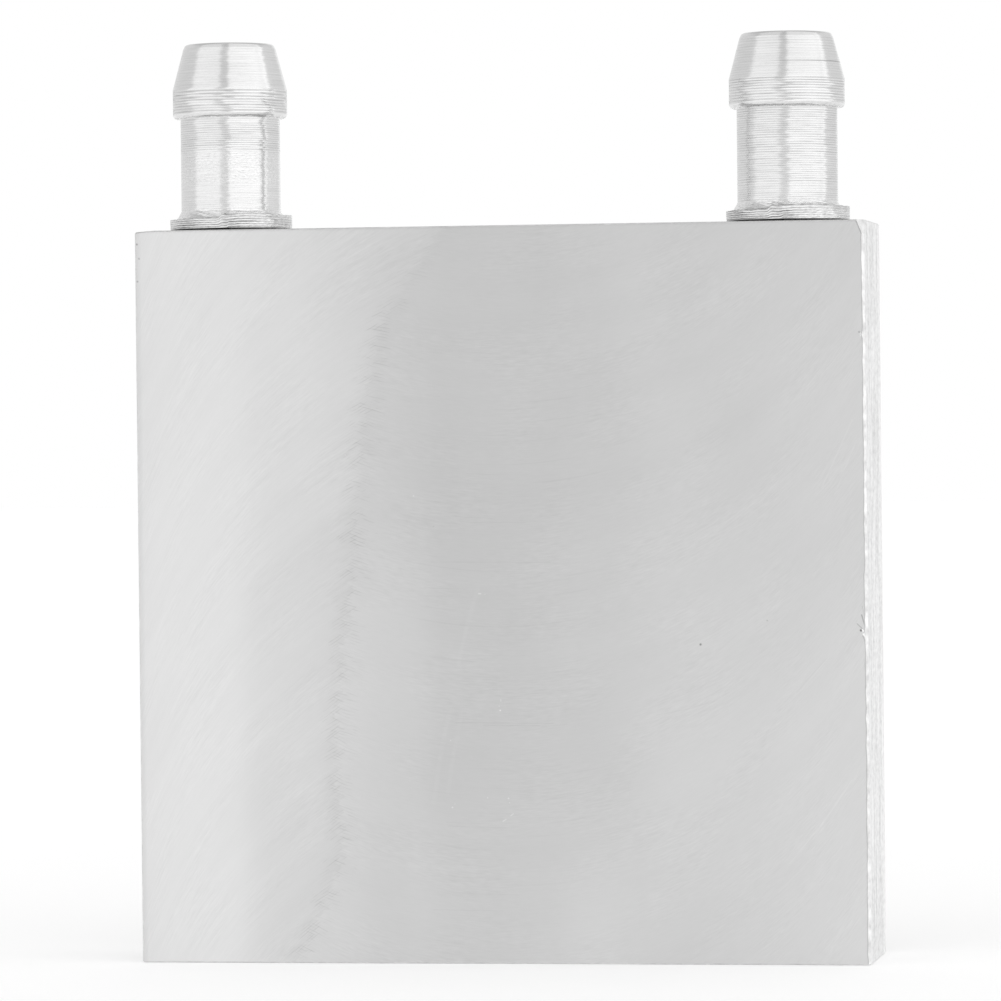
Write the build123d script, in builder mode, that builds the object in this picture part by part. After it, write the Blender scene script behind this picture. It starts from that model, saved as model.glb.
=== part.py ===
from build123d import *
import os

# Liquid cooling cold plate: a milled aluminium plate with a winding coolant channel, folded fins in the
# channel's straight legs, a cover let into its back, and two turned hose barbs pressed into its top edge.
# Millimetres. +Z is up, towards the barbs. The cooling face looks along -Y. The origin is in the middle
# of the plate's bottom edge, at half its thickness.

# Plate
plate_width = 60.0
plate_height = 60.0
plate_thickness = 12.0
edge_break = 0.1  # burrs taken off the outer edges
front_break = 0.2  # the front right edge was filed wider

# The front right corner at the top was filed flat: how far the flat reaches along each edge
filed_width = 0.65
filed_thickness = 0.9
filed_height = 1.6

# Coolant channel, milled from the back
leg_count = 6  # an even number brings the outlet back to the inlet's edge
rib_thickness = 2.0
side_wall = 3.2
bottom_wall = 3.4
port_wall = 8.0  # solid metal above the channel, which holds the barbs
front_wall = 2.2  # between the coolant and the cooling face
cutter_radius = 1.5

# Cover, let into the back and brazed on its ledge
cover_thickness = 2.0
cover_ledge = 1.2
braze_gap = 0.05

# Folded fins, one strip in each leg
fin_sheet = 0.3
fin_webs = 5
fin_bend = 0.25  # radius inside each fold
fin_side_gap = 0.15
fin_setback = 0.6  # each strip stops short of the turns at its ends

# Ports in the top edge
port_shoulder = 2.5  # metal left between a barb's shank and the channel
press_gap = 0.02  # radial gap at the pressed shank
shank_end_gap = 0.2

# Hose barbs
bore_radius = 3.0
shank_wall = 1.0
shank_lead = 0.4
stem_wall = 1.1
stem_height = 9.35  # from the plate's top edge to the underside of the head
flange_lip = 0.95
flange_thickness = 1.3
flange_relief = 0.1
root_spread = 0.42
root_taper = 0.7
head_rise = 0.62  # how far the head stands proud of the stem
head_land = 2.35
head_taper = 3.75
head_heel = 0.35
tip_wall = 0.72
tip_round = 0.3
tip_lead = 0.15

# The pressing tool sank the left part of each flange, as far as a step beside the barb's axis
press_sink = 0.3
press_slope = 0.5
inlet_step = 0.35
outlet_step = -0.7

# Channel and cover
back_y = plate_thickness / 2
cover_seat_y = back_y - cover_thickness
channel_floor_y = -back_y + front_wall
channel_depth = cover_seat_y - channel_floor_y
channel_width = plate_width - 2 * side_wall
channel_height = plate_height - bottom_wall - port_wall
channel_middle_z = bottom_wall + channel_height / 2
leg_width = (channel_width - (leg_count - 1) * rib_thickness) / leg_count
leg_pitch = leg_width + rib_thickness
first_leg_x = (leg_width - channel_width) / 2
leg_xs = [first_leg_x + i * leg_pitch for i in range(leg_count)]
turn_height = leg_width  # the channel keeps its width round each turn
straight_rib = channel_height - turn_height - rib_thickness / 2
rebate_width = channel_width + 2 * cover_ledge
rebate_height = channel_height + 2 * cover_ledge
rebate_radius = cutter_radius + cover_ledge

# Barbs and ports
inlet_x = leg_xs[0]
outlet_x = leg_xs[-1]
shank_radius = bore_radius + shank_wall
port_radius = shank_radius + press_gap
port_depth = port_wall - port_shoulder
shank_length = port_depth - shank_end_gap
stem_radius = bore_radius + stem_wall
flange_radius = stem_radius + flange_lip
sunk_flange = flange_thickness - press_sink
head_radius = stem_radius + head_rise
tip_radius = bore_radius + tip_wall
barb_height = stem_height + head_land + head_taper

# Fins
fin_width = leg_width - 2 * fin_side_gap
fin_pitch = (fin_width - fin_sheet) / (fin_webs - 1)
fin_bottom = bottom_wall + turn_height + fin_setback
fin_height = channel_height - 2 * turn_height - 2 * fin_setback

# Planes
back_plane = Plane.XZ.offset(-back_y)
cover_seat = Plane.XZ.offset(-cover_seat_y)
top_edge = Plane.XY.offset(plate_height)
filed_flat = Plane(
    origin=(plate_width / 2 - filed_width, -back_y, plate_height),
    z_dir=(1 / filed_width, -1 / filed_thickness, 1 / filed_height),
)

# Channel plate: the outer block with its broken edges and the filed corner
with BuildPart() as channel_plate:
    with BuildSketch(back_plane):
        with Locations((0, plate_height / 2)):
            Rectangle(plate_width, plate_height)
    extrude(amount=plate_thickness)
    front_right = (plate_width / 2, -back_y, plate_height / 2)
    chamfer(channel_plate.edges().filter_by(Axis.Z).sort_by_distance(front_right)[0], front_break)
    filed = channel_plate.edges().filter_by(Axis.Z).sort_by_distance(front_right)[:2]
    chamfer(channel_plate.edges() - filed, edge_break)
    split(bisect_by=filed_flat, keep=Keep.BOTTOM)

    # Rebate for the cover
    with BuildSketch(back_plane):
        with Locations((0, channel_middle_z)):
            RectangleRounded(rebate_width, rebate_height, rebate_radius)
    extrude(amount=cover_thickness, mode=Mode.SUBTRACT)

    # Channel: ribs hang from the top wall and rise from the bottom wall by turns
    with BuildSketch(cover_seat) as channel:
        with Locations((0, channel_middle_z)):
            Rectangle(channel_width, channel_height)
        for i in range(leg_count - 1):
            rib_x = (leg_xs[i] + leg_xs[i + 1]) / 2
            hangs = i % 2 == 0
            root_z = bottom_wall + channel_height if hangs else bottom_wall
            end_z = root_z - straight_rib if hangs else root_z + straight_rib
            with Locations((rib_x, (root_z + end_z) / 2)):
                Rectangle(rib_thickness, straight_rib, mode=Mode.SUBTRACT)
            with Locations((rib_x, end_z)):
                Circle(rib_thickness / 2, mode=Mode.SUBTRACT)
        rows = channel.vertices().group_by(Axis.Y)
        fillet(rows[0] + rows[-1], cutter_radius)
    extrude(amount=channel_depth, mode=Mode.SUBTRACT)

    # Ports: a seat for each shank and a bore on into the channel
    with Locations(top_edge):
        with Locations((inlet_x, 0), (outlet_x, 0)):
            CounterBoreHole(bore_radius, port_radius, port_depth, depth=port_wall + cutter_radius)

# Cover, flush with the back
with BuildPart() as cover_plate:
    with BuildSketch(back_plane):
        with Locations((0, channel_middle_z)):
            RectangleRounded(
                rebate_width - 2 * braze_gap, rebate_height - 2 * braze_gap, rebate_radius - braze_gap
            )
    extrude(amount=cover_thickness)


def hose_barb(axis_x, step):
    """A barb on its axis, with its flange sunk from the left as far as the step."""
    meridian = Plane(origin=(axis_x, 0, plate_height), x_dir=(1, 0, 0), z_dir=(0, -1, 0))
    seat = Plane(origin=(axis_x, 0, plate_height))
    with BuildPart() as barb:
        # Flange, with the pressing tool's mark across it
        with BuildSketch(seat):
            Circle(flange_radius)
        extrude(amount=flange_thickness)
        chamfer(barb.edges().group_by(Axis.Z)[0], flange_relief)
        with BuildSketch(meridian):
            with BuildLine():
                Polyline(
                    (-flange_radius, sunk_flange),
                    (step - press_slope, sunk_flange),
                    (step, flange_thickness),
                    (-flange_radius, flange_thickness),
                    close=True,
                )
            make_face()
        extrude(amount=flange_radius, both=True, mode=Mode.SUBTRACT)

        # Turned body: shank, taper, stem and head round one bore
        with BuildSketch(meridian) as body:
            with BuildLine():
                Polyline(
                    (bore_radius, -shank_length),
                    (shank_radius - shank_lead, -shank_length),
                    (shank_radius, shank_lead - shank_length),
                    (shank_radius, flange_relief),
                    (stem_radius + root_spread, flange_relief),
                    (stem_radius + root_spread, sunk_flange),
                    (stem_radius, sunk_flange + root_taper),
                    (stem_radius, stem_height),
                    (head_radius, stem_height),
                    (head_radius, stem_height + head_land),
                    (tip_radius, barb_height),
                    (bore_radius, barb_height),
                    close=True,
                )
            make_face()
            heel = body.vertices().group_by(Axis.X)[-1].sort_by(Axis.Y)[0]
            chamfer(heel, head_heel)
            mouth = body.vertices().group_by(Axis.Y)[-1].sort_by(Axis.X)
            chamfer(mouth[0], tip_lead)
            fillet(mouth[-1], tip_round)
        revolve(axis=Axis((axis_x, 0, plate_height), (0, 0, 1)))

        # The bore runs on through the flange
        with BuildSketch(seat):
            Circle(bore_radius)
        extrude(amount=barb_height, mode=Mode.SUBTRACT)
    return barb


inlet_barb = hose_barb(inlet_x, inlet_step)
outlet_barb = hose_barb(outlet_x, outlet_step)


def fin_strip(leg_x):
    """A strip of sheet folded to and fro between the channel's floor and the cover."""
    crest_y = cover_seat_y - fin_sheet / 2
    trough_y = channel_floor_y + fin_sheet / 2
    corners = []
    for i in range(fin_webs):
        web_x = leg_x + (i - (fin_webs - 1) / 2) * fin_pitch
        ends = [(web_x, trough_y), (web_x, crest_y)]
        corners += ends if i % 2 == 0 else ends[::-1]
    with BuildPart() as strip:
        with BuildSketch(Plane.XY.offset(fin_bottom)):
            with BuildLine():
                FilletPolyline(*corners, radius=fin_bend + fin_sheet / 2)
            trace(line_width=fin_sheet)
        extrude(amount=fin_height)
    return strip


pieces = {
    "channel_plate": channel_plate,
    "cover_plate": cover_plate,
    "inlet_barb": inlet_barb,
    "outlet_barb": outlet_barb,
}
for number, leg_x in enumerate(leg_xs, start=1):
    pieces[f"fin_strip_{number}"] = fin_strip(leg_x)

os.makedirs("parts", exist_ok=True)
for name, piece in pieces.items():
    piece.part.label = name
    export_step(piece.part, f"parts/{name}.step")
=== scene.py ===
import math

import bmesh
import bpy
import numpy as np
from mathutils import Matrix, Vector


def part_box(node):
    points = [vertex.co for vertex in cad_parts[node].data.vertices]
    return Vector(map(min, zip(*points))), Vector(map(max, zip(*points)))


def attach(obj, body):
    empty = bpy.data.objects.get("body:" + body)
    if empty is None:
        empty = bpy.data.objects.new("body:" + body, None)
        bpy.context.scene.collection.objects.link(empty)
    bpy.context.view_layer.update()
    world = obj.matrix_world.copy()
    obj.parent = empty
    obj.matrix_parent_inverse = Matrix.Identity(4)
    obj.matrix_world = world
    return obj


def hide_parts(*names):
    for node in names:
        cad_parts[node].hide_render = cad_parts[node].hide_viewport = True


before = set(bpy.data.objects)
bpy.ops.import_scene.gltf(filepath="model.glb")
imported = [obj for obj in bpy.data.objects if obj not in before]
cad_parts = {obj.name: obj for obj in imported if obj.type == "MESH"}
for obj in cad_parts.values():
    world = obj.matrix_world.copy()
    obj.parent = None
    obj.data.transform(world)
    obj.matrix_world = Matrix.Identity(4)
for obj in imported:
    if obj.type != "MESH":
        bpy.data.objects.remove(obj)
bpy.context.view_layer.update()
MM = 0.001

# The plate and the barbs' axes, in millimetres, as the frame has them
HALF_W, HALF_T, TOP = 30.0, 6.0, 60.0
BARB_X = sum(corner[0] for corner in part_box("outlet_barb")) / 2 / MM

# The plate's broken edges, the wider one filed along the front right, and the flat filed at that edge's top
BREAK, FILED = 0.1, 0.2
FLAT_W, FLAT_H = 0.65, 1.6

# The seam round the cover: half its width and height, its middle's height, and its corners' radius
SEAM_HALF_W, SEAM_HALF_H, SEAM_Z, SEAM_RADIUS = 27.975, 25.475, 27.7, 2.7

# Camera, at the photograph's viewing angle: focal length in pixels of the square frame, place in metres,
# turn, tip and roll in degrees
FRAME_PX, FOCAL_PX = 1001, 5978.5
CAMERA_PLACE = (0.079755, -0.4847, 0.043308)
CAMERA_TURN, CAMERA_TIP, CAMERA_ROLL = 9.4394, -0.6676, -0.6056

# How far inwards a face still counts as the plate's outside
SKIN = 0.9

# What separates the noise of one seed from the next, on a plane
SEED_SHIFT = 13.7

# The finishes of the plate's faces, in the order of its material slots
FRONT, SIDES, ENDS, BACK, FILED_EDGE, BROKEN_EDGE, INNER, LIP = range(8)


def add_camera():
    data = bpy.data.cameras.new("camera")
    data.sensor_width = 36.0
    data.lens = FOCAL_PX / FRAME_PX * data.sensor_width
    data.clip_start, data.clip_end = 0.05, 20
    cam = bpy.data.objects.new("camera", data)
    turn = Matrix.Rotation(math.radians(CAMERA_TURN), 4, "Z")
    tip = Matrix.Rotation(math.radians(90 + CAMERA_TIP), 4, "X")
    roll = Matrix.Rotation(math.radians(CAMERA_ROLL), 4, "Z")
    cam.matrix_world = Matrix.Translation(CAMERA_PLACE) @ turn @ tip @ roll
    bpy.context.scene.collection.objects.link(cam)
    bpy.context.scene.camera = cam


class Nodes:
    """Builds a node tree with short calls. Values are numbers, tuples or other nodes' sockets."""

    def __init__(self, owner):
        owner.use_nodes = True
        self.tree = owner.node_tree
        self.tree.nodes.clear()

    def put(self, socket, value):
        if isinstance(value, bpy.types.NodeSocket):
            self.tree.links.new(value, socket)
        elif value is not None:
            socket.default_value = value

    def node(self, kind, inputs=None, **props):
        n = self.tree.nodes.new("ShaderNode" + kind)
        for key, value in props.items():
            setattr(n, key, value)
        for key, value in (inputs or {}).items():
            self.put(n.inputs[key], value)
        return n

    def math(self, op, a, b=None):
        return self.node("Math", {0: a, 1: b}, operation=op).outputs[0]

    def add(self, *values):
        total = values[0]
        for value in values[1:]:
            total = self.math("ADD", total, value)
        return total

    def sub(self, a, b):
        return self.math("SUBTRACT", a, b)

    def mul(self, *values):
        total = values[0]
        for value in values[1:]:
            total = self.math("MULTIPLY", total, value)
        return total

    def vector_math(self, op, a, b=None):
        return self.node("VectorMath", {0: a, 1: b}, operation=op).outputs[0]

    def scaled(self, vector, factor):
        return self.node("VectorMath", {0: vector, "Scale": factor}, operation="SCALE").outputs[0]

    def distance(self, a, b):
        return self.node("VectorMath", {0: a, 1: b}, operation="DISTANCE").outputs["Value"]

    def vec(self, x=0.0, y=0.0, z=0.0):
        return self.node("CombineXYZ", {0: x, 1: y, 2: z}).outputs[0]

    def span(self, value, low, high, out_low=0.0, out_high=1.0, kind="LINEAR"):
        inputs = {"Value": value, "From Min": low, "From Max": high, "To Min": out_low, "To Max": out_high}
        # A smooth step keeps to its range by itself. Each clamp costs the shader room.
        return self.node("MapRange", inputs, interpolation_type=kind, clamp=kind == "LINEAR").outputs[0]

    def step(self, value, low, high, out_low=0.0, out_high=1.0):
        """Smooth step of value, from low to high."""
        if low > high:
            low, high, out_low, out_high = high, low, out_high, out_low
        return self.span(value, low, high, out_low, out_high, "SMOOTHSTEP")

    def noise(self, vector, detail=1.0, rough=0.5):
        inputs = {"Vector": vector, "Scale": 1.0, "Detail": detail, "Roughness": rough}
        return self.node("TexNoise", inputs).outputs["Fac"]

    def grain(self, vector, amount, detail=1.0, rough=0.5):
        """Noise about zero, with a spread of about a quarter of the amount."""
        return self.mul(self.sub(self.noise(vector, detail, rough), 0.5), amount)

    def flat_noise(self, a, b, seed, detail=1.0, rough=0.5):
        """Noise on a plane, which renders faster."""
        vector = self.vec(self.add(a, seed * SEED_SHIFT), b)
        inputs = {"Vector": vector, "Scale": 1.0, "Detail": detail, "Roughness": rough}
        return self.node("TexNoise", inputs, noise_dimensions="2D").outputs["Fac"]

    def flat_grain(self, a, b, seed, amount, detail=1.0, rough=0.5):
        return self.mul(self.sub(self.flat_noise(a, b, seed, detail, rough), 0.5), amount)

    def curve(self, value, points, low, high, out_low, out_high, smooth=True):
        """Curve through a few points, each given as (value, result)."""
        n = self.node("FloatCurve", {"Value": self.span(value, low, high)})
        line = n.mapping.curves[0]
        while len(line.points) < len(points):
            line.points.new(0.5, 0.5)
        for p, (x, y) in zip(line.points, points):
            p.location = ((x - low) / (high - low), (y - out_low) / (out_high - out_low))
            p.handle_type = "AUTO_CLAMPED" if smooth else "VECTOR"
        n.mapping.update()
        return self.span(n.outputs[0], 0.0, 1.0, out_low, out_high)

    def mix(self, fac, a, b):
        return self.node("Mix", {0: fac, 2: a, 3: b}, data_type="FLOAT").outputs[0]

    def mix_vector(self, fac, a, b):
        return self.node("Mix", {0: fac, 4: a, 5: b}, data_type="VECTOR").outputs[1]

    def grey(self, value):
        return self.node("CombineColor", {0: value, 1: value, 2: value}).outputs[0]

    def place(self):
        """Place on the object in millimetres, as separate X, Y and Z."""
        s = self.node("SeparateXYZ", {0: self.node("TexCoord").outputs["Object"]})
        return [self.mul(s.outputs[i], 1000.0) for i in range(3)]

    def bump(self, height, strength, distance):
        return self.node("Bump", {"Strength": strength, "Distance": distance, "Height": height}).outputs[0]

    def mark(self, place, start, end, width, change):
        """A stroke on the plane of X and Z that changes a tone: change along it, 0 beyond its width."""
        a, b = Vector((start[0], 0, start[1])), Vector((end[0], 0, end[1]))
        length = (b - a).length
        if length == 0:
            far = self.distance(place, a)
        else:
            run = self.vector_math("SUBTRACT", place, a)
            way = (b - a).normalized()
            along = self.node("VectorMath", {0: run, 1: way}, operation="DOT_PRODUCT").outputs["Value"]
            along = self.math("MINIMUM", self.math("MAXIMUM", along, 0.0), length)
            far = self.distance(run, self.scaled(way, along))
        return self.step(far, width * 0.25, width * 0.85, change, 0.0)

    def metal(self, color, roughness, anisotropic=0.0, tangent=None, normal=None):
        inputs = {"Base Color": color, "Metallic": 1.0, "Roughness": roughness, "Anisotropic": anisotropic}
        if tangent is not None:
            inputs["Tangent"] = tangent
        if normal is not None:
            inputs["Normal"] = normal
        b = self.node("BsdfPrincipled", inputs)
        self.node("OutputMaterial", {"Surface": b.outputs[0]})


def material(name):
    mat = bpy.data.materials.new(name)
    return mat, Nodes(mat)


def arc_pass(n, x, z, radius, centre, way):
    """One pass of a fly cutter along Z, whose marks are arcs of one radius, one feed apart. Returns the
    place across the marks, the place along them, and the direction across them."""
    dx = n.sub(x, centre)
    rise = n.math("SQRT", n.math("MAXIMUM", n.sub(radius * radius, n.mul(dx, dx)), 4.0))
    across = n.add(z, n.mul(rise, way))
    along = n.mul(n.math("ARCSINE", n.mul(dx, 1 / radius)), radius)
    return across, along, n.vec(n.mul(dx, -way / radius), 0.0, n.mul(rise, 1 / radius))


def cutter_marks(n, across, along, seed, fine, middle, broad):
    """Tone of the marks of one pass, about zero. The last three values are the strengths of its layers."""
    a = n.flat_grain(n.mul(across, 6.5), n.mul(along, 0.85), seed, fine, 1.0, 0.8)
    b = n.flat_grain(n.mul(across, 2.3), n.mul(along, 0.20), seed + 3, middle, 1.0)
    c = n.flat_grain(n.mul(across, 0.45), n.mul(along, 0.07), seed + 7, broad, 0.0)
    patch = n.flat_noise(n.mul(across, 0.22), n.mul(along, 0.16), seed + 9, 0.0)
    patch = n.step(patch, 0.30, 0.75, 0.45, 1.45)
    return n.add(n.mul(n.add(a, b), patch), c)


def front_face():
    """The cooling face, cut in two overlapping passes."""
    mat, n = material("fly_cut_face")
    x, y, z = n.place()

    # Single scratches, pits and bright specks
    flat = n.vec(x, 0.0, z)
    strokes = 0.0
    for start, end, width, change in (
        ((-3.7, 19.62), (4.3, 19.54), 0.06, -0.040), ((-1.4, 19.40), (3.2, 19.36), 0.06, -0.035),
        ((-5.6, 32.70), (4.2, 32.60), 0.06, -0.030), ((-2.3, 35.9), (2.2, 35.85), 0.06, -0.025),
        ((-0.9, 22.3), (5.3, 22.25), 0.06, -0.020), ((-6.2, 30.6), (-3.4, 30.5), 0.07, -0.025),
        ((-4.4, 11.2), (1.0, 11.05), 0.07, -0.025), ((-4.6, 11.5), (-1.5, 11.4), 0.06, -0.025),
        ((-5.7, 4.4), (0.0, 4.3), 0.06, -0.022), ((-3.3, 5.7), (1.3, 5.6), 0.06, -0.020),
        ((12.8, 20.2), (15.5, 20.7), 0.09, -0.018), ((15.2, 20.65), (17.5, 21.3), 0.08, -0.014),
        ((16.5, 24.1), (19.3, 26.6), 0.07, -0.014), ((24.2, 22.0), (26.6, 24.7), 0.08, -0.026),
        ((24.5, 22.1), (26.8, 24.8), 0.07, 0.016), ((23.5, 8.2), (26.2, 11.5), 0.10, 0.016),
        ((26.0, 11.2), (28.6, 14.9), 0.10, 0.020), ((22.6, 5.9), (25.4, 8.7), 0.12, 0.014),
        ((26.4, 38.5), (28.9, 43.9), 0.10, 0.020), ((27.4, 37.9), (29.2, 42.2), 0.09, 0.018),
        ((-1.75, 30.55), (-2.77, 27.21), 0.30, 0.009), ((-2.77, 27.21), (-3.44, 24.45), 0.26, 0.011),
        ((-4.30, 20.15), (-5.06, 16.72), 0.32, 0.010), ((-5.06, 16.72), (-5.59, 13.06), 0.30, 0.008),
        ((-3.24, 20.40), (-3.91, 17.13), 0.28, 0.007), ((-3.91, 17.13), (-4.43, 13.87), 0.30, 0.009),
        ((16.42, 25.89), (16.42, 25.89), 0.16, -0.34), ((21.85, 27.80), (21.85, 27.80), 0.10, -0.18),
        ((-0.04, 20.60), (-0.04, 20.60), 0.11, 0.20), ((-0.12, 20.95), (-0.12, 20.95), 0.08, 0.12),
        ((0.02, 21.35), (0.02, 21.5), 0.08, 0.09), ((-4.16, 18.17), (-4.16, 18.17), 0.09, 0.10),
        ((0.57, 13.45), (0.57, 13.45), 0.12, 0.13), ((0.66, 13.1), (0.66, 13.1), 0.09, 0.09),
        ((0.1, 11.6), (0.35, 11.75), 0.08, 0.11), ((0.75, 12.05), (0.95, 12.2), 0.08, 0.10),
        ((-4.06, 12.72), (-4.06, 12.72), 0.12, 0.13), ((-3.85, 13.0), (-3.85, 13.0), 0.08, 0.07),
        ((-1.16, 13.53), (-1.15, 13.5), 0.10, 0.08), ((-7.0, 38.1), (-7.0, 38.1), 0.12, 0.10),
        ((-1.7, 30.1), (-1.55, 30.1), 0.10, 0.12), ((-1.2, 30.05), (-1.2, 30.05), 0.08, 0.08),
        ((-5.4, 35.6), (-5.35, 35.6), 0.10, -0.06),
    ):
        strokes = n.add(strokes, n.mark(flat, start, end, width, change))
    # Burr at the right edge, where the metal tore, and small nicks at both edges. The bright spots on the
    # burr and on the upper right nick are painted glints, with painted shadow beside them
    for start, end, width, change in (
        ((29.50, 28.20), (29.76, 27.30), 0.09, -0.24), ((29.12, 27.50), (29.62, 27.02), 0.07, -0.18),
        ((29.44, 26.96), (29.44, 26.96), 0.17, -0.48), ((29.55, 27.02), (29.90, 26.50), 0.11, 0.50),
        ((29.62, 26.66), (29.90, 26.30), 0.09, 0.45), ((29.58, 26.50), (29.80, 26.02), 0.07, -0.20),
        ((29.55, 28.9), (29.75, 28.0), 0.07, -0.08), ((29.52, 50.95), (29.52, 50.95), 0.14, -0.20),
        ((29.76, 50.80), (29.76, 50.72), 0.24, 0.50),
        ((-29.82, 58.89), (-29.82, 58.89), 0.15, -0.30), ((-29.66, 57.74), (-29.64, 57.70), 0.12, -0.20),
        ((-29.80, 55.85), (-29.80, 55.85), 0.14, -0.24),
    ):
        strokes = n.add(strokes, n.mark(flat, start, end, width, change))

    # The line where the second pass ends, and the height of the teeth that it leaves there
    edge = [(0, -17.6), (1.3, -16.9), (4.6, -15.2), (9.9, -13.8), (16.3, -14.1), (24.1, -13.6),
            (30.5, -12.7), (40, -12.1), (46, -11.3), (51.5, -10.2), (55.6, -7.8), (60, -4.7)]
    line = n.curve(z, edge, 0, 60, -30, 30)
    uneven = n.mul(n.flat_noise(n.mul(z, 0.35), 0.0, 1, 1.0), 2.5)
    teeth = n.math("PINGPONG", n.add(n.mul(z, 0.62), uneven), 0.5)
    ragged = n.flat_grain(n.mul(x, 1.3), n.mul(z, 2.6), 2, 1.3, 1.0, 0.6)
    gap = n.add(x, n.mul(line, -1.0), n.mul(teeth, 0.9), ragged, -0.60)

    left_across, left_along, left_dir = arc_pass(n, x, z, 41.0, 9.0, -1.0)
    right_across, right_along, right_dir = arc_pass(n, x, z, 35.0, 0.3, 1.0)
    left_marks = cutter_marks(n, left_across, left_along, 21, 0.056, 0.044, 0.026)
    right_marks = cutter_marks(n, right_across, right_along, 31, 0.058, 0.020, 0.018)
    right = n.step(gap, -0.2, 0.45)

    # Painted reflection of the studio lights across the plate, brightest along the left and darkest in the
    # upright band left of the middle
    reflection_bands = [(-30, 0.731), (-27.5, 0.748), (-23, 0.739), (-19.5, 0.700), (-15.8, 0.682), (-12.6, 0.654),
             (-9.6, 0.622), (-6.2, 0.596), (-3.2, 0.580), (3.6, 0.586), (6.4, 0.600), (11, 0.611),
             (20, 0.616), (26, 0.632), (30, 0.641)]
    tone = n.curve(x, reflection_bands, -30, 30, 0.4, 0.9)
    sway = n.flat_grain(n.mul(z, 0.05), n.mul(x, 0.04), 3, 6.0, 0.0)
    low = n.step(z, 42.0, 14.0)
    # Broad patches of painted reflection: darker high in the middle, paler low in the middle, low on the
    # right and low on the left
    tone = n.add(tone, n.mul(right, n.step(z, 33.0, 41.0), n.step(x, -1.0, -8.0), -0.014))
    tone = n.add(tone, n.mul(n.step(n.add(x, sway), 8.0, 17.0), low, 0.036))
    paler = n.add(n.step(z, 42.4, 40.6, 0.0, 0.008), n.step(z, 36.0, 29.0, 0.0, 0.012))
    tone = n.add(tone, n.mul(n.step(x, -4.6, -7.4), right, paler))
    tone = n.add(tone, n.mul(n.step(x, -11.0, -4.0), n.step(x, 15.0, 6.0), n.step(z, 20.0, 2.0), 0.050))
    tone = n.add(tone, n.mul(n.step(x, -15.0, -23.0), n.step(z, 54.0, 6.0, -0.020, 0.014)))
    tone = n.add(tone, n.mul(n.step(x, 1.0, 5.0), n.step(x, 13.0, 8.0), n.step(z, 26.0, 42.0), -0.016))
    # The last arcs of the first pass stand a little darker, low on the left
    last = n.mul(n.step(left_across, 3.2, 2.2), n.step(x, -22.5, -19.5), n.sub(1.0, right))
    tone = n.add(tone, n.mul(last, -0.018))
    cloud = n.flat_grain(n.mul(x, 0.10), n.mul(z, 0.07), 4, 0.040, 1.0)
    tone = n.add(tone, cloud, n.mix(right, left_marks, right_marks))

    # Crossed strokes of both passes along the line, and the shade of the step itself
    near = n.mul(n.step(gap, -1.5, -0.4), n.step(gap, 2.0, 0.4))
    worn = n.step(n.flat_noise(n.mul(z, 0.75), 0.0, 5, 1.0), 0.32, 0.62, 0.3, 1.0)
    zone = n.mul(near, worn, n.step(z, 58.0, 51.0, 0.35, 1.0))
    tone = n.add(tone, n.mul(zone, -0.014))
    for across, low, high, seed in ((left_across, 0.9, -0.2, 15), (right_across, -0.7, 0.2, 16)):
        feed = n.add(n.mul(across, 3.6), n.flat_grain(n.mul(across, 0.8), n.mul(x, 0.5), seed, 1.2, 0.0))
        ridge = n.step(n.math("PINGPONG", feed, 0.5), 0.30, 0.46)
        own = n.step(n.flat_noise(n.mul(across, 2.1), n.mul(x, 0.9), seed + 2, 0.0), 0.38, 0.62)
        tone = n.add(tone, n.mul(zone, n.step(gap, low, high), ridge, own, -0.085))

    # Deeper feed lines in the middle
    deep = n.flat_noise(n.mul(right_across, 3.8), n.mul(right_along, 0.09), 12, 0.0)
    middle = n.mul(n.step(x, -9.0, -4.0), n.step(x, 13.0, 4.0), n.step(z, 3.0, 10.0), n.step(z, 56.0, 46.0))
    tone = n.add(tone, n.mul(n.step(deep, 0.76, 0.88), middle, -0.026), strokes)

    # Edges: painted shade where the face turns down a little beside the filed flat, and painted shade along
    # the left and the top
    corner = n.add(n.mul(n.sub(HALF_W, x), 1 / FLAT_W), n.mul(n.sub(TOP, z), 1 / FLAT_H), -1.0)
    tone = n.mul(tone, n.step(corner, 0.02, 0.24, 0.62, 1.0))
    tone = n.mul(tone, n.step(x, -29.86, -29.4, 0.93, 1.0), n.step(z, 59.86, 59.70, 0.95, 1.0))

    rough = n.add(0.33, n.mul(n.mix(right, left_marks, right_marks), 1.2))
    n.metal(n.grey(tone), rough, 0.5, n.mix_vector(right, left_dir, right_dir))
    return mat


def sawn(name, along, across, tone, contrast, seed):
    """A sawn edge, with streaks along one axis and short marks across them. X, Y and Z are 0, 1 and 2."""
    mat, n = material(name)
    p = n.place()
    wander = n.grain(n.vec(n.mul(p[along], 0.12), seed, n.mul(p[across], 0.2)), 0.6)
    a, c = p[along], n.add(p[across], wander)
    value = n.add(
        n.grain(n.vec(n.mul(c, 0.50), n.mul(a, 0.06), seed), 0.5),
        n.grain(n.vec(n.mul(c, 1.2), n.mul(a, 0.13), seed + 3.0), 1.4, 2.0, 0.6),
        n.grain(n.vec(n.mul(c, 0.9), n.mul(a, 2.0), seed + 5.0), 1.2, 2.0, 0.6),
    )
    if across == 1:
        # The sides grow paler towards the back
        value = n.add(value, n.step(p[1], 3.6, 5.0, 0.0, 0.16))
    nicks = n.step(n.noise(n.vec(n.mul(c, 2.4), n.mul(a, 0.9), seed + 11.0), 1.0), 0.70, 0.78)
    color = n.math("MINIMUM", n.add(tone, n.mul(value, contrast), n.mul(nicks, -0.15)), 0.96)
    rough = n.span(value, -0.5, 0.5, 0.50, 0.36)
    n.metal(n.grey(color), rough, 0.0, None, n.bump(value, 0.5, 0.00004))
    return mat


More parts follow.
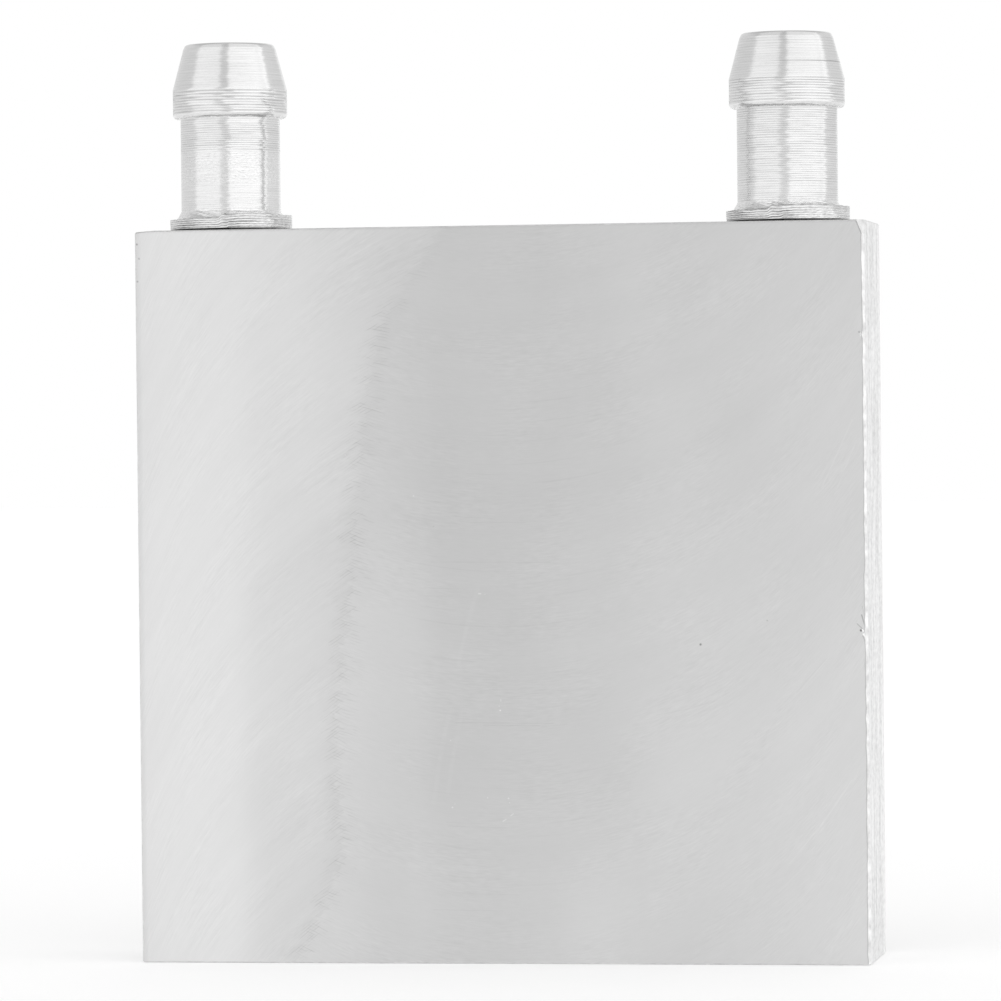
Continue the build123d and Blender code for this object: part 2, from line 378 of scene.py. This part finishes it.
def edge_metal(name, low, high, roughness):
    """A small broken edge, worn unevenly."""
    mat, n = material(name)
    x, y, z = n.place()
    v = n.noise(n.vec(n.mul(x, 1.4), n.mul(y, 1.4), n.mul(z, 1.1)), 3.0, 0.6)
    n.metal(n.grey(n.span(v, 0.3, 0.7, low, high)), roughness, 0.0, None, n.bump(v, 0.4, 0.00003))
    return mat


def cloudy_metal(name, scales, tone, roughness, relief):
    """Metal whose tone, gloss and height follow one noise, with a scale for each of X, Y and Z."""
    mat, n = material(name)
    v = n.noise(n.vec(*(n.mul(a, scale) for a, scale in zip(n.place(), scales))), 3.0, 0.55)
    color = n.grey(n.span(v, 0.3, 0.7, *tone))
    n.metal(color, n.span(v, 0.3, 0.7, *roughness), 0.0, None, n.bump(v, *relief))
    return mat


def back_face():
    """The back is faced after brazing, cover and rim together, so both carry one set of arcs."""
    mat, n = material("faced_back")
    x, y, z = n.place()
    across, along, direction = arc_pass(n, x, z, 46.0, -4.0, 1.0)
    marks = cutter_marks(n, across, along, 51, 0.05, 0.04, 0.04)
    tone = n.add(0.655, marks, n.grain(n.vec(n.mul(x, 0.06), 9.0, n.mul(z, 0.05)), 0.06, 2.0))
    # Braze darkens the metal along the cover's edge
    dx = n.sub(n.math("ABSOLUTE", x), SEAM_HALF_W - SEAM_RADIUS)
    dz = n.sub(n.math("ABSOLUTE", n.sub(z, SEAM_Z)), SEAM_HALF_H - SEAM_RADIUS)
    px, pz = n.math("MAXIMUM", dx, 0.0), n.math("MAXIMUM", dz, 0.0)
    round_part = n.math("SQRT", n.add(n.mul(px, px), n.mul(pz, pz)))
    flat_part = n.math("MINIMUM", n.math("MAXIMUM", dx, dz), 0.0)
    seam = n.math("ABSOLUTE", n.add(round_part, flat_part, -SEAM_RADIUS))
    stain = n.noise(n.vec(n.mul(x, 0.9), 2.0, n.mul(z, 0.9)), 3.0)
    stained = n.mul(n.step(seam, 0.55, 0.0), n.span(stain, 0.35, 0.65, 0.05, 0.30))
    tone = n.mul(tone, n.sub(1.0, stained))
    n.metal(n.grey(tone), n.add(0.34, n.mul(marks, 1.2)), 0.5, direction)
    return mat


def turned_metal(name, axis_x, seed, chatter_from, chatter_to):
    """Turned aluminium. The mesh says how much painted shade each place takes, mostly from how deep in a feed
    mark it lies, and how its ring leans.
    """
    mat, n = material(name)
    x, y, z = n.place()
    up = n.sub(z, TOP)
    angle = n.math("ARCTAN2", y, n.sub(x, axis_x))
    groove = n.node("Attribute", attribute_name="groove").outputs["Fac"]
    lean = n.node("Attribute", attribute_name="lean").outputs["Fac"]
    fine = n.grain(n.vec(n.mul(up, 9.0), n.mul(angle, 1.2), seed), 0.18, 2.0, 0.6)
    smear = n.grain(n.vec(n.mul(up, 0.8), n.mul(angle, 0.9), seed + 4.0), 0.10, 2.0)
    stipple = n.grain(n.vec(n.mul(angle, 14.0), n.mul(up, 8.0), seed + 8.0), 1.0, 1.0)
    # Chatter replaces the feed marks on part of the stem, and roughens the flange
    on_stem = n.mul(n.step(up, chatter_from, chatter_from + 0.5), n.step(up, chatter_to, chatter_to - 0.4))
    chatter = n.add(n.mul(on_stem, 0.6), n.step(up, 2.1, 1.5, 0.2, 1.2))
    # Painted shade darkens the feed marks' grooves, as much as the mesh gives
    tone = n.add(0.775, fine, smear, n.mul(stipple, chatter, 0.34), n.mul(groove, -0.37))
    # The head's taper is a little darker than the rest
    tone = n.mul(tone, n.step(up, 11.6, 11.9, 1.0, 0.93))
    # Torn metal under the head, darkened also as painted shadow of the head's overhang, and painted shade in
    # the joint under the flange
    torn = n.noise(n.vec(n.mul(angle, 9.0), n.mul(up, 4.0), seed + 6.0), 2.0)
    heel_tear_and_shade = n.step(n.math("ABSOLUTE", n.sub(n.add(up, n.mul(torn, 0.2)), 9.52)), 0.17, 0.06)
    tone = n.sub(tone, n.mul(heel_tear_and_shade, n.step(torn, 0.46, 0.62), 0.11))
    joint_shade = n.step(up, 0.23, 0.17)
    tone = n.mul(n.math("MAXIMUM", tone, 0.08), n.sub(1.0, n.mul(joint_shade, 0.94)))
    broken = n.mul(n.math("ABSOLUTE", stipple), chatter, 0.25)
    rough = n.add(0.16, n.mul(groove, 0.10), broken, n.mul(smear, 0.4))
    normal = n.bump(n.add(n.mul(fine, 4.0), n.mul(stipple, chatter, 1.4)), 0.5, 0.00002)
    # Each ring leans its own way, so the lights' edges run ragged across the marks
    round_it = n.vec(n.math("SINE", angle), n.mul(n.math("COSINE", angle), -1.0), 0.0)
    normal = n.vector_math("NORMALIZE", n.vector_math("ADD", normal, n.scaled(round_it, n.mul(lean, 0.09))))
    n.metal(n.grey(tone), rough, 0.0, None, normal)
    return mat


def wave(t, seed, pitch):
    """Smooth random line through t, from -1 to 1, with its knots one pitch apart."""
    knots = np.random.default_rng(seed).uniform(-1, 1, 512)
    u = np.asarray(t, float) / pitch + 128
    i = np.floor(u).astype(int)
    f = u - i
    f = f * f * (3 - 2 * f)
    return knots[i % 512] * (1 - f) + knots[(i + 1) % 512] * f


def add_object(mesh, name, node):
    """Adds a mesh in place of one of the frame's solids."""
    obj = bpy.data.objects.new(name, mesh)
    bpy.context.scene.collection.objects.link(obj)
    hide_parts(node)
    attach(obj, "root")


def detailed_plate(mats):
    """The plate's own shape, with edges broken by hand and a finish for each kind of face."""
    bm = bmesh.new()
    bm.from_mesh(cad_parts["channel_plate"].data)
    bmesh.ops.remove_doubles(bm, verts=bm.verts, dist=1e-7)
    bmesh.ops.dissolve_limit(bm, angle_limit=math.radians(0.2), verts=bm.verts, edges=bm.edges)
    for v in bm.verts:
        v.co *= 1000

    def outer(f):
        """Whether a face is on the outside. The back doesn't count, because it isn't cut up."""
        c = f.calc_center_median()
        return abs(c.x) > HALF_W - SKIN or c.y < -HALF_T + SKIN or c.z < SKIN or c.z > TOP - SKIN

    def cut(axis, at, keep):
        faces = [f for f in bm.faces if keep(f)]
        geom = {v for f in faces for v in f.verts} | {e for f in faces for e in f.edges} | set(faces)
        co, no = Vector((0, 0, 0)), Vector((0, 0, 0))
        co[axis], no[axis] = at, 1
        bmesh.ops.bisect_plane(bm, geom=list(geom), dist=1e-5, plane_co=co, plane_no=no)

    def on_front(f):
        return f.normal.y < -0.99 and f.calc_center_median().y < -HALF_T + 0.01

    def near(value, target):
        return abs(value - target) < 1e-3

    # A narrow lip beside the filed edge, painted darker as the shade of a rolled edge, then cuts that let the
    # edges wander
    lip = HALF_W - FILED - 0.085
    cut(0, lip, on_front)
    for at in np.arange(0.35, 59.7, 0.30):
        cut(2, at, outer)
    for at in np.arange(-29.5, 29.6, 0.6):
        cut(0, at, outer)

    # Nicks in the filed edge: height, reach and depth
    nicks = ((50.8, 0.22, 0.10), (26.6, 0.35, 0.10), (31.4, 0.25, 0.06))
    for v in bm.verts:
        x, y, z = v.co
        if z > TOP - 0.2 and x < -28.4:
            # The top edge falls away a little at the left corner
            v.co.z -= 0.13 * ((-28.4 - x) / 1.6) ** 1.5
        if not 0.25 < z < TOP - 0.25:
            on_rim = near(z, BREAK) or near(z, TOP - BREAK)
            if on_rim and near(abs(y), HALF_T) and abs(x) < HALF_W - 1:
                v.co.z += math.copysign(1, TOP / 2 - z) * 0.025 * float(wave(x + 50, 11, 0.9))
            continue
        dent = sum(depth * math.exp(-((z - at) / reach) ** 2) for at, reach, depth in nicks)
        uneven = 0.030 * float(wave(z, 5, 1.1)) + 0.022 * float(wave(z, 6, 0.45))
        if near(y, -HALF_T) and x > lip - 1e-3 and z < 58.6:
            v.co.x += uneven - dent
        elif near(x, HALF_W) and near(y, FILED - HALF_T) and z < 58.2:
            v.co.y += 0.03 + 0.05 * float(wave(z, 1, 1.3)) + 0.03 * float(wave(z, 2, 0.5)) + dent
        elif near(abs(x), HALF_W) and near(abs(y), HALF_T - BREAK):
            v.co.y += math.copysign(1, -y) * (0.015 + 0.02 * float(wave(z, 3 if x < 0 else 4, 0.9)))
        elif near(abs(y), HALF_T) and near(abs(x), HALF_W - BREAK):
            v.co.x += math.copysign(1, -x) * (0.01 + 0.015 * float(wave(z, 7 if x < 0 else 8, 0.8)))

    for f in bm.faces:
        c, no = f.calc_center_median(), f.normal
        slanted = abs(no.x) + abs(no.y) + abs(no.z) > 1.3
        on_rim = abs(c.x) > HALF_W - 0.12 or c.z < 0.12 or c.z > TOP - 0.12
        if not (outer(f) or c.y > HALF_T - SKIN):
            f.material_index = INNER
        elif no.y < -0.99 and c.y < -HALF_T + 0.01:
            f.material_index = LIP if c.x > lip - 0.03 and c.z < 58.9 else FRONT
        elif abs(no.x) > 0.99 and abs(c.x) > HALF_W - 0.05:
            f.material_index = SIDES
        elif abs(no.z) > 0.99 and (c.z < 0.05 or c.z > TOP - 0.05):
            f.material_index = ENDS
        elif no.y > 0.99 and c.y > HALF_T - 0.05:
            f.material_index = BACK
        elif c.x > HALF_W - 0.75 and c.y < -HALF_T + 0.95 and abs(no.z) < 0.6:
            f.material_index = FILED_EDGE
        elif slanted and on_rim:
            f.material_index = BROKEN_EDGE
        else:
            f.material_index = INNER
        f.smooth = f.material_index == INNER
    for v in bm.verts:
        v.co *= MM

    mesh = bpy.data.meshes.new("plate_body")
    bm.to_mesh(mesh)
    bm.free()
    for m in mats:
        mesh.materials.append(m)
    kept = mesh.attributes.get("custom_normal")
    if kept:
        mesh.attributes.remove(kept)
    mesh.set_sharp_from_angle(angle=math.radians(30))
    add_object(mesh, "plate_body", "channel_plate")


def turned_barb(name, node, axis_x, mark_x, seed, mat, coarse, ring_at=None):
    """A turned barb with its feed marks, burrs and the pressing tool's mark as real relief. Heights are in
    millimetres above the plate's top edge, and coarse gives the depth of the stem's marks at a height, and so
    how much painted shade they take."""
    segs = 144
    theta = np.arange(segs) * 2 * math.pi / segs
    ct, st = np.cos(theta), np.sin(theta)
    flange_r, flange_h, sink, slope = 5.05, 1.3, 0.3, 0.45
    stem_r, head_r, tip_r, bore_r, shank_r = 4.1, 4.72, 3.72, 3.0, 4.0
    shank_end, stem_top, land_top, top = -5.3, 9.35, 11.7, 15.45
    front = np.clip(-st, 0, 1)

    def flange_top(r):
        """Height of the flange's top at radius r, round the barb, with burrs thrown up beside the step."""
        x = r * ct
        t = np.clip((x - (mark_x - slope)) / slope, 0, 1)
        t = t * t * (3 - 2 * t)
        burr = 0.05 * np.exp(-((x - mark_x + 0.1) / 0.3) ** 2) * front
        rough = 0.022 * wave(theta * 5 + seed, seed + 20, 0.35) + 0.016 * wave(theta * 5, seed + 21, 0.16)
        lift = 0.05 * np.exp(-((x - 2.6) / 1.6) ** 2) * front - 0.07 * np.clip((x - 4.0) / 1.0, 0, 1) * front
        return np.minimum(flange_h - sink * (1 - t) + burr + rough + lift, flange_h + 0.05)

    def marks(z, pitch, s):
        """Feed marks on a wall: how deep in its groove a height lies, from 0 to 1, and how its ring leans."""
        phase = z / pitch + 0.30 * float(wave(z, s, 0.9))
        k = math.floor(phase)
        saw = 0.5 - 0.5 * math.cos(2 * math.pi * phase)
        own = 0.82 + 0.22 * float(wave(k * 1.7, s + 5, 1.0))
        along = 0.85 + 0.30 * wave(theta * 4 + 7 * k, s + 3, 1.0)
        lean = np.random.default_rng(1000 * s + k + 500).uniform(-1, 1) * (1 - 0.6 * saw)
        return np.clip(saw ** 1.6 * own * along, 0, 1), lean

    rings = []

    def ring(r, z, depth=0.0, groove=0.0, lean=0.0, shade=1.0):
        """One ring of the mesh. The groove's depth comes off the radius, and its shade is kept."""
        g = np.broadcast_to(groove, segs).astype(float)
        rings.append((np.broadcast_to(r, segs) - depth * g, np.broadcast_to(z, segs).astype(float),
                      g * shade, np.broadcast_to(lean, segs)))

    # Shank in its port, and the underside of the flange, which lies tight on the left of the step only
    for r, z in ((bore_r, shank_end), (shank_r - 0.4, shank_end), (shank_r, shank_end + 0.4), (shank_r, 0.0)):
        ring(r, z)
    place = flange_r * ct - mark_x
    open_side = np.clip((place - 0.3 + 0.5 * wave(theta * 5, seed + 30, 0.5)) / 0.7, 0, 1)
    far_left = np.clip((-place - 3.9) / 0.5, 0, 1) * (0.5 + 0.5 * wave(theta * 5, seed + 31, 0.3))
    relief = 0.012 + 0.188 * np.maximum(open_side, 0.45 * np.clip(far_left, 0, 1))
    ring(4.45, 0.0)
    ring(4.47, relief)
    ring(flange_r - 0.05, relief)
    wall_top = flange_top(flange_r)
    left = np.clip((mark_x - flange_r * ct) / 1.0, 0, 1)
    calm = np.clip((flange_r * ct - mark_x - 2.0) / 1.5, 0, 1)
    for k in range(45):
        f = k / 44
        z = (relief + 0.015) * (1 - f) + (wall_top - 0.05) * f
        g, lean = marks(0.06 + f * 1.22, 0.24, seed + 1)
        pits = np.clip(wave(theta * 5 + 9 * k, seed + 40, 0.12) - 0.25, 0, 1)
        pits = pits * (0.25 + 0.75 * calm) * (1 - 0.7 * left)
        flare = np.minimum((0.02 - 0.06 * (1 - f)) * left, 0.004)
        ring(flange_r - 0.004 + flare, z, 0.024, np.maximum(g * (1 - 0.6 * calm), pits), lean * 1.5, 1.65)
    # The flange's rounded rim, darkened with painted shade
    for a in (30, 60, 90):
        q = math.radians(a)
        rim_shade = 0.25 + 0.4 * wave(theta * 5, seed + 41, 0.2)
        ring(flange_r - 0.055 + 0.05 * math.cos(q), wall_top - 0.05 + 0.05 * math.sin(q), 0.0, rim_shade)
    foot_z = flange_top(4.45)
    foot_r = 4.52 - (foot_z - 1.0) * 0.6
    # The flange's top rises to the stem's foot, darkened with painted shade
    for f in (0.25, 0.5, 0.75, 0.92):
        ring((flange_r - 0.055) * (1 - f) + foot_r * f, wall_top * (1 - f) + foot_z * f, 0.0, 0.6)
    # Painted shade in the crease at the foot of the stem
    crease_shade = np.clip(1.25 + 0.9 * wave(theta * 5, seed + 42, 0.5), 0.3, 1.8)
    ring(foot_r + 0.005, foot_z - 0.02, 0.0, crease_shade)
    ring(foot_r - 0.01, foot_z + 0.05, 0.0, crease_shade)
    # Taper up to the stem, with the lumps that the press left
    for f in np.linspace(0.12, 1.0, 14):
        lump = 0.035 * wave(theta * 5 + 3 * f, seed + 50, 0.25) * math.sin(math.pi * f)
        lump = lump * np.clip(front * 1.5, 0.2, 1)
        r = foot_r * (1 - f) + stem_r * f - 0.03 * math.sin(math.pi * f) + lump
        pits = np.clip(wave(theta * 5 + 7 * f, seed + 51, 0.15) - 0.3, 0, 1) * (1 - f)
        ring(r, foot_z * (1 - f) + 1.7 * f, 0.01, pits)
    # Stem
    for z in np.arange(1.74, 9.25, 0.032):
        depth = coarse(z)
        g, lean = marks(z, 0.186, seed + 3)
        ring(stem_r, z, 0.010 * depth, g, lean * min(1.0, 0.15 + depth), depth)
    # Head: under face with a ragged burr, rounded heel, land and taper
    # The under face of the head carries a little painted shade
    ring(stem_r - 0.012, 9.29, 0.0, 0.15)
    ring(stem_r + 0.01, stem_top, 0.0, 0.15)
    ring(head_r - 0.36, stem_top + 0.02 * wave(theta * 5, seed + 60, 0.2))
    for a in range(0, 91, 9):
        q = math.radians(a)
        rag = 0.030 * wave(theta * 5, seed + 61, 0.14) * math.cos(q)
        pits = np.clip(wave(theta * 5 + a / 9, seed + 62, 0.13) - 0.2, 0, 1) * (1 - a / 120)
        ring(head_r - 0.36 + 0.36 * math.sin(q), stem_top + 0.34 * (1 - math.cos(q)) + rag, 0.0, pits)
    for z in np.arange(9.72, 11.68, 0.028):
        g, lean = marks(z, 0.226, seed + 4)
        ring(head_r, z, 0.014, g, lean * 1.6, 0.85)
    rise = top - land_top
    for z in np.arange(11.72, 15.12, 0.034):
        g, lean = marks(z, 0.215, seed + 5)
        g = g * 0.40 * coarse(z)
        if ring_at is not None:
            g = np.maximum(g, math.exp(-((z - ring_at) / 0.045) ** 2) * np.clip(0.4 + 0.9 * ct, 0, 1))
        ring(head_r + (tip_r - head_r) * (z - land_top) / rise, z, 0.010, g, lean * 0.3)
    # Rounded tip, mouth and bore
    lean_angle = math.degrees(math.atan2(head_r - tip_r, rise))
    for a in np.linspace(lean_angle, 90, 9):
        q = math.radians(a)
        ring(tip_r - 0.27 + 0.3 * math.cos(q), top - 0.3 + 0.3 * math.sin(q), 0.0, 0.25 * (a > 60))
    ring(3.16, top)
    ring(3.03, top - 0.12)
    for z in (14.5, 14.0, 10.0, 5.0, 0.0, shank_end):
        ring(bore_r, z)

    verts = np.concatenate([np.stack([axis_x + r * ct, r * st, TOP + z], 1) for r, z, g, t in rings]) * MM
    base = np.arange(segs)
    nxt = (base + 1) % segs
    starts = np.arange(len(rings)) * segs
    pairs = zip(starts, np.roll(starts, -1))
    faces = np.concatenate([np.stack([a + base, a + nxt, b + nxt, b + base], 1) for a, b in pairs])

    mesh = bpy.data.meshes.new(name)
    mesh.vertices.add(len(verts))
    mesh.vertices.foreach_set("co", verts.ravel())
    mesh.loops.add(faces.size)
    mesh.loops.foreach_set("vertex_index", faces.ravel())
    mesh.polygons.add(len(faces))
    mesh.polygons.foreach_set("loop_start", np.arange(0, faces.size, 4))
    mesh.polygons.foreach_set("use_smooth", np.ones(len(faces), bool))
    mesh.update(calc_edges=True)
    for title, column in (("groove", 2), ("lean", 3)):
        values = np.concatenate([r[column] for r in rings])
        mesh.attributes.new(title, "FLOAT", "POINT").data.foreach_set("value", values)
    mesh.set_sharp_from_angle(angle=math.radians(40))
    mesh.materials.append(mat)
    add_object(mesh, name, node)


def add_floor():
    """A matt floor that takes the object's shadow. It glows a little where it is seen or mirrored, to look
    white, but sheds no more light on the object for that."""
    mesh = bpy.data.meshes.new("floor")
    s, z = 3.0, -0.00002
    mesh.from_pydata([(-s, -s, z), (s, -s, z), (s, s, z), (-s, s, z)], [], [(0, 1, 2, 3)])
    mat, n = material("white_floor")
    rays = n.node("LightPath")
    bounced = n.math("MAXIMUM", rays.outputs["Is Glossy Ray"], rays.outputs["Is Transmission Ray"])
    seen = n.math("MAXIMUM", rays.outputs["Is Camera Ray"], bounced)
    glow = n.node("Emission", {"Color": (1, 1, 1, 1), "Strength": n.mul(seen, 0.30)})
    matt = n.node("BsdfDiffuse", {"Color": (0.8, 0.8, 0.8, 1)})
    both = n.node("AddShader", {0: glow.outputs[0], 1: matt.outputs[0]})
    n.node("OutputMaterial", {"Surface": both.outputs[0]})
    mesh.materials.append(mat)
    floor = bpy.data.objects.new("floor", mesh)
    bpy.context.scene.collection.objects.link(floor)


def add_world():
    """A pale studio. In front hang two wide soft lights with a dimmer gap between them, and the right one
    ends in a brighter strip beside the object. The wall behind the object is white."""
    world = bpy.data.worlds.new("studio")
    bpy.context.scene.world = world
    n = Nodes(world)
    d = n.node("SeparateXYZ", {0: n.node("TexCoord").outputs["Generated"]})
    # Bearing from the way that the cooling face looks, in degrees, positive to the right
    bearing = n.mul(n.math("ARCTAN2", d.outputs[0], n.mul(d.outputs[1], -1.0)), 180 / math.pi)
    round_about = [(-180, 1.0), (-171, 1.0), (-166, 0.86), (-80, 0.84), (-72, 1.16), (-14, 1.20), (-8, 0.85),
                   (6, 0.83), (10, 1.33), (80, 1.33), (90, 1.22), (97, 1.38), (103, 1.38), (106, 0.90),
                   (160, 0.84), (165, 1.0), (180, 1.0)]
    upwards = [(-1, 1.0), (0.50, 1.0), (0.66, 0.80), (1, 0.72)]
    walls = n.curve(bearing, round_about, -180, 180, 0, 2, smooth=False)
    above = n.curve(d.outputs[2], upwards, -1, 1, 0, 2, smooth=False)
    rays = n.node("LightPath")
    strength = n.mix(rays.outputs["Is Camera Ray"], n.mul(walls, above), 1.0)
    bg = n.node("Background", {"Color": (1, 1, 1, 1), "Strength": strength})
    n.node("OutputWorld", {"Surface": bg.outputs[0]})


add_camera()
add_world()
add_floor()
bpy.context.scene.view_settings.view_transform = "Standard"

back = back_face()
detailed_plate([
    front_face(),
    sawn("sawn_sides", 2, 1, 0.845, 0.37, 1.0),
    sawn("sawn_ends", 0, 1, 0.76, 0.20, 21.0),
    back,
    edge_metal("filed_edge", 0.66, 0.96, 0.32),
    edge_metal("broken_edge", 0.66, 0.80, 0.45),
    cloudy_metal("end_milled_channel", (0.8, 0.3, 2.4), (0.58, 0.68), (0.46, 0.34), (0.5, 0.00003)),
    # The lip is flat; its darker tone is painted shade of a rolled edge
    edge_metal("rolled_lip_shade", 0.50, 0.60, 0.40),
])


def inlet_marks(z):
    """How deep the inlet's feed marks are at a height above the top edge, from 0 to 1. It also sets how much
    painted shade they take.
    """
    return float(np.interp(z, [2, 4, 6.3, 6.7, 9.3, 11.7, 16], [0.30, 0.12, 0.15, 0.62, 0.70, 0.25, 0.35]))


def outlet_marks(z):
    """The same for the outlet."""
    return float(np.interp(z, [2, 5, 9.3, 11.7, 16], [0.55, 0.65, 0.80, 0.60, 0.70]))


# Chatter replaces the feed marks along the middle of the inlet's stem. The outlet's has none, so the range
# given for it lies above the barb.
inlet_metal = turned_metal("turned_inlet", -BARB_X, 3.0, 3.6, 6.6)
outlet_metal = turned_metal("turned_outlet", BARB_X, 8.0, 20.0, 21.0)
turned_barb("inlet_turned", "inlet_barb", -BARB_X, 0.35, 10, inlet_metal, inlet_marks)
turned_barb("outlet_turned", "outlet_barb", BARB_X, -0.7, 30, outlet_metal, outlet_marks, 13.0)

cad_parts["cover_plate"].material_slots[0].material = back
fin = cloudy_metal("rolled_fin_sheet", (1.5, 1.5, 0.1), (0.62, 0.72), (0.36, 0.26), (0.3, 0.00002))
for i in range(1, 7):
    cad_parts[f"fin_strip_{i}"].material_slots[0].material = fin
